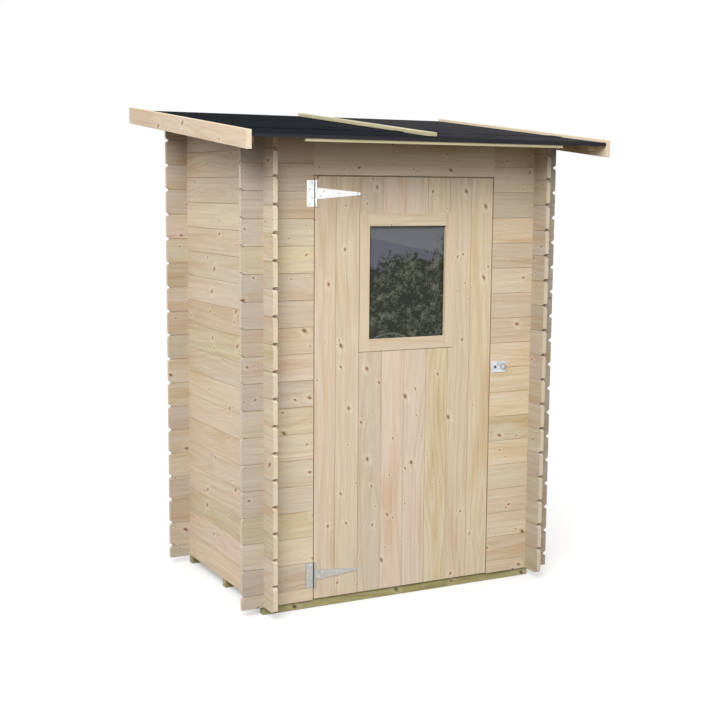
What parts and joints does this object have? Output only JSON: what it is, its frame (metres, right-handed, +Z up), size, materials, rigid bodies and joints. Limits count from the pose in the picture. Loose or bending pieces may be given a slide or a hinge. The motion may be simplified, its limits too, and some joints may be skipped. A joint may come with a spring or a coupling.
{
  "type": "garden shed",
  "caption": "Small log-built garden shed with corner-notched log walls, mono-pitch felt roof and a boarded door with a window.",
  "frame": {"origin": "on the ground under the middle of the roof's plan outline", "axes": "+X to the right seen from the front, +Y to the back, +Z up; the door faces -Y"},
  "size_m": [1.746, 1.441, 2.1927],
  "materials": {
    "spruce": "planed untreated softwood with knots",
    "green_wood": "sawn pressure-treated softwood",
    "roofing_felt": "mineral-grain bitumen felt",
    "zinc_steel": "zinc-plated pressed steel",
    "glass": "clear smooth"
  },
  "bodies": {
    "shed": {"bearer_front": "green_wood", "bearer_middle": "green_wood", "bearer_back": "green_wood", "floor_boards": "spruce", "left_wall": "spruce", "right_wall": "spruce", "back_wall": "spruce", "front_wall_left": "spruce", "front_wall_right": "spruce", "door_lintel": "spruce", "door_post_left": "spruce", "door_post_right": "spruce", "door_head": "spruce", "roof_panel_left": "spruce", "roof_panel_right": "spruce", "felt_front": "roofing_felt", "felt_back": "roofing_felt", "barge_board_left": "spruce", "barge_board_right": "spruce", "cover_batten": "green_wood", "eaves_batten_front": "green_wood", "eaves_batten_back": "green_wood", "verge_batten_left": "spruce", "verge_batten_right": "spruce", "hinge_plate_top": "zinc_steel", "hinge_plate_bottom": "zinc_steel", "staple_plate": "zinc_steel"},
    "door": {"door_boards": "spruce", "door_ledge_top": "spruce", "door_ledge_middle": "spruce", "door_ledge_bottom": "spruce", "window_frame": "spruce", "window_beads": "spruce", "window_pane": "glass", "hinge_strap_top": "zinc_steel", "hinge_strap_bottom": "zinc_steel"}
  },
  "joints": [
    {"name": "door_hinge", "type": "hinge", "parent": "shed", "child": "door", "pos_m": [-0.4455, -0.4488, 0], "axis": [0, 0, -1], "range_deg": [0, 150]}
  ]
}
